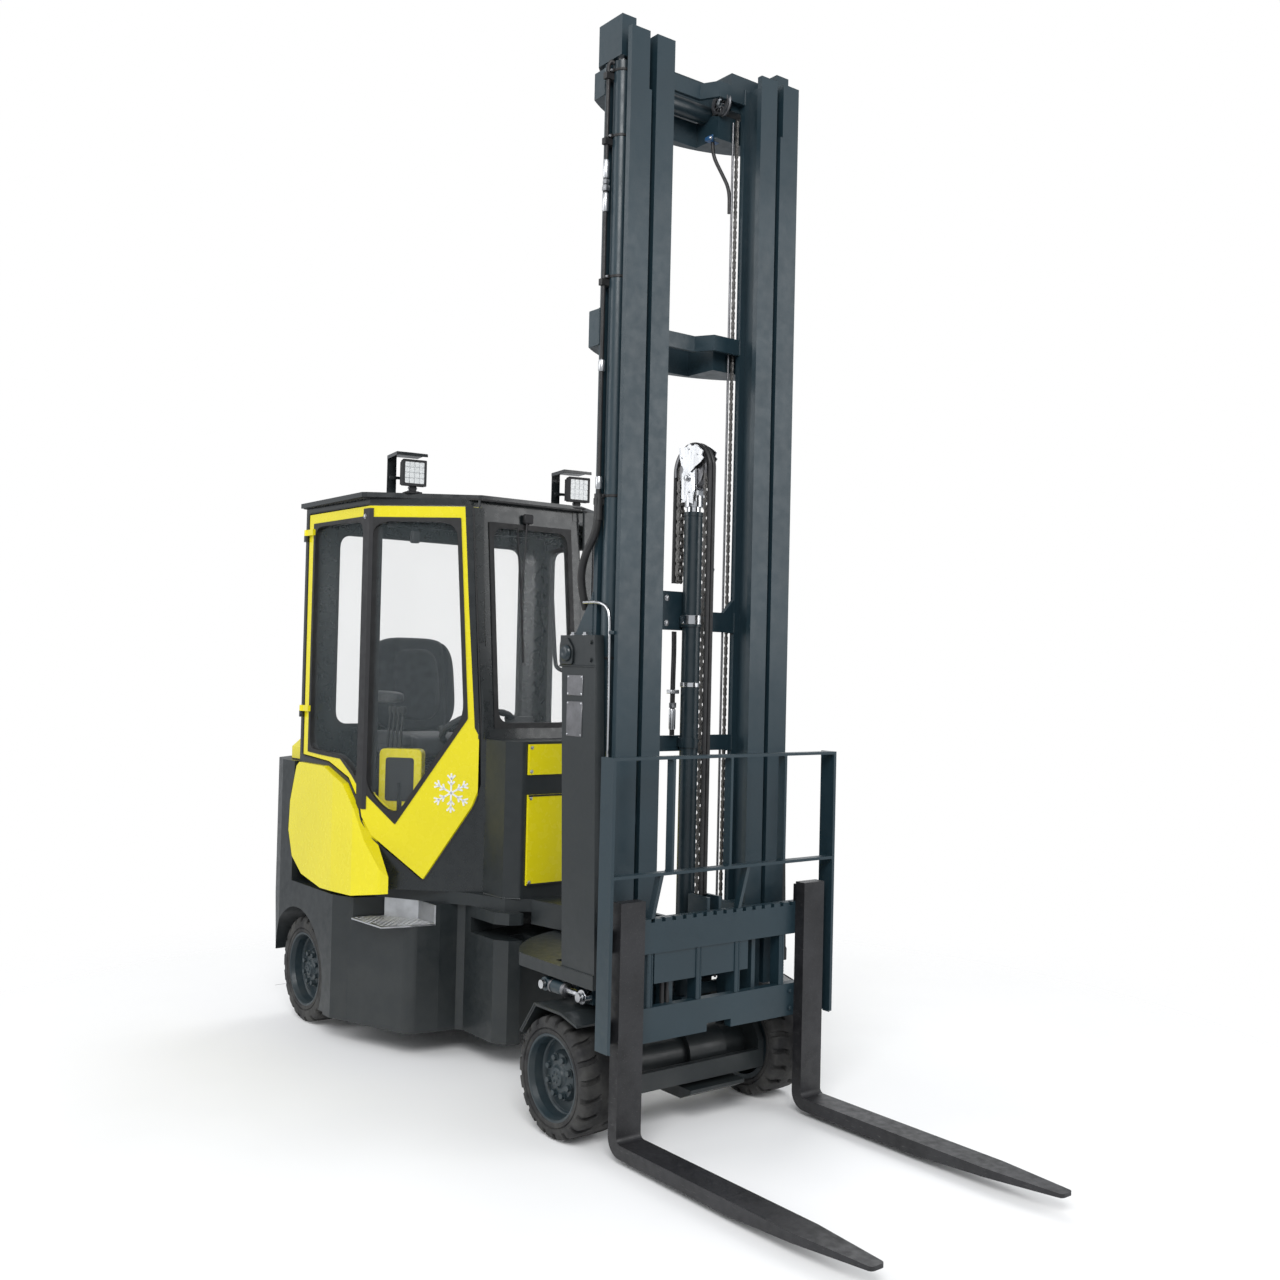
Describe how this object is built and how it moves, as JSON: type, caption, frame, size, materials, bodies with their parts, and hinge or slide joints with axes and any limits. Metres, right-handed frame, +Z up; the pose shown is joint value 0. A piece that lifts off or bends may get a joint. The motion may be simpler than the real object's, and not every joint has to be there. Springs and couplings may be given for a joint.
{
  "type": "articulated forklift",
  "caption": "Narrow-aisle lift truck whose front frame swings about a king pin, with a two-stage mast, fork carriage and glazed cab.",
  "frame": {"origin": "on the floor, under the middle of the bounding box with the forks lowered", "axes": "+Z up, +Y towards the tail, forks towards -Y, +X to the driver's left as they face the forks"},
  "size_m": [1.31, 3.6024, 3.826],
  "materials": {
    "mast_steel": "satin slate blue-grey paint",
    "charcoal_paint": "satin charcoal paint",
    "yellow_paint": "gloss lemon-yellow paint",
    "fork_steel": "near-black paint, worn at the blades",
    "rod_chrome": "polished",
    "chain_steel": "oiled",
    "tread_plate": "chequered",
    "tyre_black": "matt",
    "rim_paint": "dark slate paint",
    "window_glass": "clear",
    "seat_black": "woven",
    "hose_black": "satin",
    "control_black": "textured",
    "lamp_black": "textured"
  },
  "bodies": {
    "rear_body": {"chassis": "charcoal_paint", "chassis_deck": "charcoal_paint", "king_pin": "chain_steel", "nose_housing": "charcoal_paint", "nose_panels": "yellow_paint", "counterweight": "charcoal_paint", "rear_frame": "charcoal_paint", "wing_panels": "yellow_paint", "side_pod": "yellow_paint", "hood": "yellow_paint", "cab_frame": "charcoal_paint", "cab_hinges": "charcoal_paint", "cab_glass": "window_glass", "roof": "charcoal_paint", "steps": "tread_plate", "seat": "seat_black", "console": "control_black", "work_lamps": "lamp_black", "tow_bracket": "charcoal_paint", "rear_axle": "charcoal_paint"},
    "front_frame": {"front_frame": "charcoal_paint", "drive_axle": "charcoal_paint"},
    "mast_outer": {"mast_outer": "mast_steel", "lift_barrels": "mast_steel", "mast_hose": "hose_black"},
    "mast_inner": {"mast_inner": "mast_steel", "lift_rods": "rod_chrome", "ram_barrel": "mast_steel"},
    "ram_head": {"ram_head": "rod_chrome", "ram_sheave": "mast_steel", "ram_chain": "chain_steel"},
    "carriage": {"carriage": "mast_steel", "load_backrest": "mast_steel", "fork_right": "fork_steel", "fork_left": "fork_steel"},
    "cab_door": {"door_frame": "yellow_paint", "door_glass": "window_glass"},
    "front_right_wheel": {"front_right_rim": "rim_paint", "front_right_tyre": "tyre_black"},
    "front_left_wheel": {"front_left_rim": "rim_paint", "front_left_tyre": "tyre_black"},
    "rear_right_wheel": {"rear_right_rim": "rim_paint", "rear_right_tyre": "tyre_black"},
    "rear_left_wheel": {"rear_left_rim": "rim_paint", "rear_left_tyre": "tyre_black"},
    "tilt_barrel_right": {"tilt_barrel_right": "mast_steel"},
    "tilt_rod_right": {"tilt_rod_right": "rod_chrome"},
    "tilt_barrel_left": {"tilt_barrel_left": "mast_steel"},
    "tilt_rod_left": {"tilt_rod_left": "rod_chrome"}
  },
  "joints": [
    {"name": "articulation", "type": "hinge", "parent": "rear_body", "child": "front_frame", "pos_m": [0, 0.06625, 0.53], "axis": [0, 0, 1], "range_deg": [-90, 90]},
    {"name": "cab_door", "type": "hinge", "parent": "rear_body", "child": "cab_door", "pos_m": [-0.643, 1.40925, 1.365], "axis": [0, 0, -1], "range_deg": [0, 80]},
    {"name": "mast_tilt", "type": "hinge", "parent": "front_frame", "child": "mast_outer", "pos_m": [0, -0.36375, 1.635], "axis": [1, 0, 0], "range_deg": [-3, 2]},
    {"name": "mast_lift", "type": "slide", "parent": "mast_outer", "child": "mast_inner", "axis": [0, 0, 1], "range_m": [0, 2.6]},
    {"name": "carriage_lift", "type": "slide", "parent": "mast_inner", "child": "carriage", "axis": [0, 0, 1], "range_m": [0, 2.5]},
    {"name": "ram_lift", "type": "slide", "parent": "mast_inner", "child": "ram_head", "axis": [0, 0, 1], "range_m": [0, 1.25]},
    {"name": "front_right_roll", "type": "hinge", "parent": "front_frame", "child": "front_right_wheel", "pos_m": [-0.48, -0.42675, 0.203], "axis": [1, 0, 0], "continuous": true},
    {"name": "front_left_roll", "type": "hinge", "parent": "front_frame", "child": "front_left_wheel", "pos_m": [0.48, -0.42675, 0.203], "axis": [1, 0, 0], "continuous": true},
    {"name": "rear_right_roll", "type": "hinge", "parent": "rear_body", "child": "rear_right_wheel", "pos_m": [-0.48, 1.38125, 0.2285], "axis": [1, 0, 0], "continuous": true},
    {"name": "rear_left_roll", "type": "hinge", "parent": "rear_body", "child": "rear_left_wheel", "pos_m": [0.48, 1.38125, 0.2285], "axis": [1, 0, 0], "continuous": true},
    {"name": "tilt_cylinder_right", "type": "hinge", "parent": "front_frame", "child": "tilt_barrel_right", "pos_m": [-0.424, -0.26475, 0.477], "axis": [1, 0, 0], "range_deg": [-2, 2]},
    {"name": "tilt_rod_right_slide", "type": "slide", "parent": "tilt_barrel_right", "child": "tilt_rod_right", "axis": [0, -1, 0], "range_m": [-0.041, 0.061]},
    {"name": "tilt_cylinder_left", "type": "hinge", "parent": "front_frame", "child": "tilt_barrel_left", "pos_m": [0.424, -0.26475, 0.477], "axis": [1, 0, 0], "range_deg": [-2, 2]},
    {"name": "tilt_rod_left_slide", "type": "slide", "parent": "tilt_barrel_left", "child": "tilt_rod_left", "axis": [0, -1, 0], "range_m": [-0.041, 0.061]}
  ],
  "couplings": [
    {"joint": "ram_lift", "follows": "carriage_lift", "ratio": 0.5},
    {"joint": "tilt_cylinder_right", "follows": "mast_tilt", "ratio": 0.558},
    {"joint": "tilt_rod_right_slide", "follows": "mast_tilt", "m_per_rad": -1.158},
    {"joint": "tilt_cylinder_left", "follows": "mast_tilt", "ratio": 0.558},
    {"joint": "tilt_rod_left_slide", "follows": "mast_tilt", "m_per_rad": -1.158}
  ]
}
